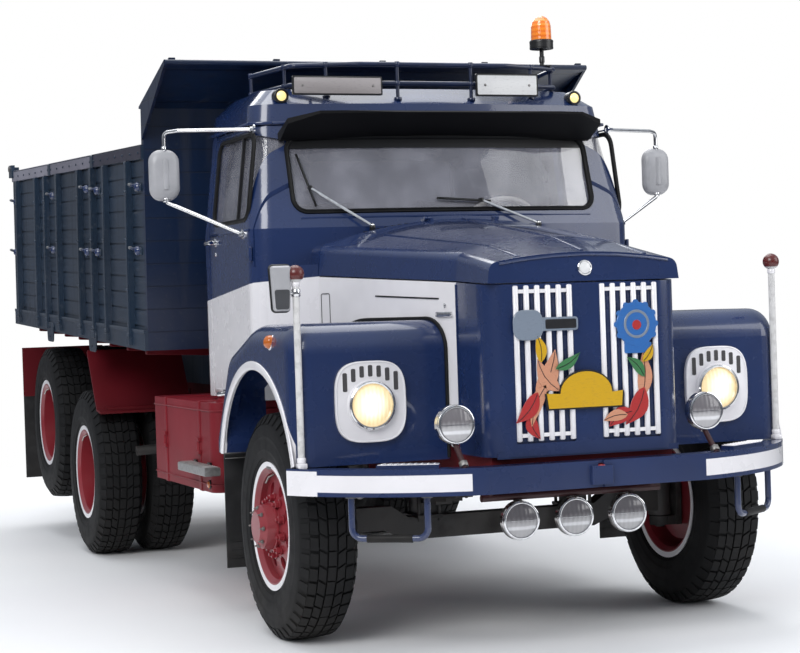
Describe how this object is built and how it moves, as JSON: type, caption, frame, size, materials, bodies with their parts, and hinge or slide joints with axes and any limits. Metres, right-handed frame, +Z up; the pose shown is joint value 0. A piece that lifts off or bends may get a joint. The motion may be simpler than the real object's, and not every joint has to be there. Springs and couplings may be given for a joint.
{
  "type": "bonneted three-axle tipper truck",
  "caption": "Bonneted tipper truck with a steel dump body, a lifted tag axle behind the drive axle, opening doors, bonnet lid and tailgate.",
  "frame": {"origin": "on the ground, at the centre of the whole truck's outline seen from above", "axes": "+X to the truck's left, +Y to its rear, +Z up"},
  "size_m": [2.87, 7.3136, 3.0049],
  "materials": {
    "chassis_paint": "semi-gloss",
    "axle_iron": "painted, oily",
    "spring_steel": "satin",
    "engine_iron": "rough",
    "radiator_black": "matt",
    "body_blue": "gloss",
    "white_paint": "gloss",
    "lamp_chrome": "polished",
    "floor_black": "matt",
    "glass": "clear",
    "visor_black": "satin",
    "amber_plastic": "clear amber",
    "seat_cloth": "woven",
    "trim_grey": "grained",
    "wheel_grey": "smooth",
    "tank_grey": "satin",
    "flap_rubber": "matt",
    "red_plastic": "clear red",
    "tyre": "matt",
    "wheel_red": "semi-gloss",
    "ram_chrome": "polished"
  },
  "bodies": {
    "chassis": {"chassis_frame": "chassis_paint", "cross_members": "chassis_paint", "front_axle": "axle_iron", "drive_axle": "axle_iron", "tag_axle": "axle_iron", "leaf_springs": "spring_steel", "engine_block": "engine_iron", "radiator": "radiator_black", "bumper": "body_blue", "marker_poles": "white_paint", "front_lamps": "lamp_chrome", "nose_shell": "body_blue", "hood_sides": "white_paint", "grille_panels": "white_paint", "fenders": "body_blue", "headlamps": "white_paint", "cab_front": "body_blue", "cab_back": "body_blue", "cab_roof": "body_blue", "cab_floor": "floor_black", "cab_glass": "glass", "sun_visor": "visor_black", "roof_rack": "body_blue", "beacon": "amber_plastic", "seats": "seat_cloth", "dashboard": "trim_grey", "steering_wheel": "wheel_grey", "wipers": "lamp_chrome", "fuel_tank": "chassis_paint", "side_boxes": "tank_grey", "rear_mudguards": "chassis_paint", "mud_flaps": "flap_rubber", "tail_lamps": "red_plastic"},
    "door_left": {"door_left": "body_blue", "door_glass_left": "glass", "mirror_left": "lamp_chrome"},
    "door_right": {"door_right": "body_blue", "door_glass_right": "glass", "mirror_right": "lamp_chrome"},
    "hood_lid": {"hood_lid": "body_blue"},
    "knuckle_left": {"knuckle_left": "axle_iron"},
    "knuckle_right": {"knuckle_right": "axle_iron"},
    "tipper": {"tipper_floor": "body_blue", "tipper_sides": "body_blue", "tipper_front": "body_blue"},
    "tailgate": {"tailgate": "body_blue"},
    "cylinder_barrel": {"cylinder_barrel": "chassis_paint"},
    "cylinder_rod": {"cylinder_rod": "ram_chrome"},
    "wheel_front_left": {"tyre_front_left": "tyre", "rim_front_left": "wheel_red"},
    "wheel_front_right": {"tyre_front_right": "tyre", "rim_front_right": "wheel_red"},
    "wheel_drive_left": {"tyre_drive_left": "tyre", "rim_drive_left": "wheel_red"},
    "wheel_drive_right": {"tyre_drive_right": "tyre", "rim_drive_right": "wheel_red"},
    "wheel_tag_left": {"tyre_tag_left": "tyre", "rim_tag_left": "wheel_red"},
    "wheel_tag_right": {"tyre_tag_right": "tyre", "rim_tag_right": "wheel_red"}
  },
  "joints": [
    {"name": "door_left_hinge", "type": "hinge", "parent": "chassis", "child": "door_left", "pos_m": [1.02, -1.9668, 1.7], "axis": [0, 0, -1], "range_deg": [0, 65]},
    {"name": "door_right_hinge", "type": "hinge", "parent": "chassis", "child": "door_right", "pos_m": [-1.02, -1.9668, 1.7], "axis": [0, 0, 1], "range_deg": [0, 65]},
    {"name": "bonnet_hinge", "type": "hinge", "parent": "chassis", "child": "hood_lid", "pos_m": [0, -2.1798, 1.929], "axis": [-1, 0, 0], "range_deg": [0, 50]},
    {"name": "steer_left", "type": "hinge", "parent": "chassis", "child": "knuckle_left", "pos_m": [0.86, -2.5268, 0.52], "axis": [0, 0, 1], "range_deg": [-32, 32]},
    {"name": "steer_right", "type": "hinge", "parent": "chassis", "child": "knuckle_right", "pos_m": [-0.86, -2.5268, 0.52], "axis": [0, 0, 1], "range_deg": [-32, 32]},
    {"name": "front_left_spin", "type": "hinge", "parent": "knuckle_left", "child": "wheel_front_left", "pos_m": [1, -2.5268, 0.52], "axis": [1, 0, 0], "continuous": true},
    {"name": "front_right_spin", "type": "hinge", "parent": "knuckle_right", "child": "wheel_front_right", "pos_m": [-1, -2.5268, 0.52], "axis": [1, 0, 0], "continuous": true},
    {"name": "drive_left_spin", "type": "hinge", "parent": "chassis", "child": "wheel_drive_left", "pos_m": [1, 1.2732, 0.52], "axis": [1, 0, 0], "continuous": true},
    {"name": "drive_right_spin", "type": "hinge", "parent": "chassis", "child": "wheel_drive_right", "pos_m": [-1, 1.2732, 0.52], "axis": [1, 0, 0], "continuous": true},
    {"name": "tag_left_spin", "type": "hinge", "parent": "chassis", "child": "wheel_tag_left", "pos_m": [1, 2.5232, 0.78], "axis": [1, 0, 0], "continuous": true},
    {"name": "tag_right_spin", "type": "hinge", "parent": "chassis", "child": "wheel_tag_right", "pos_m": [-1, 2.5232, 0.78], "axis": [1, 0, 0], "continuous": true},
    {"name": "tipper_hinge", "type": "hinge", "parent": "chassis", "child": "tipper", "pos_m": [0, 3.3232, 1.12], "axis": [-1, 0, 0], "range_deg": [0, 50]},
    {"name": "tailgate_hinge", "type": "hinge", "parent": "tipper", "child": "tailgate", "pos_m": [0, 3.56368, 2.61672], "axis": [1, 0, 0], "range_deg": [0, 75]},
    {"name": "cylinder_swing", "type": "hinge", "parent": "chassis", "child": "cylinder_barrel", "pos_m": [0, 0.4232, 0.84], "axis": [1, 0, 0], "range_deg": [0, 21.94]},
    {"name": "cylinder_slide", "type": "slide", "parent": "cylinder_barrel", "child": "cylinder_rod", "axis": [0, 0.9753, 0.2211], "range_m": [0, 0.94108]}
  ],
  "couplings": [
    {"joint": "steer_right", "follows": "steer_left", "ratio": 1},
    {"joint": "cylinder_swing", "follows": "tipper_hinge", "ratio": 0.4288},
    {"joint": "cylinder_slide", "follows": "tipper_hinge", "m_per_rad": 1.0727}
  ]
}
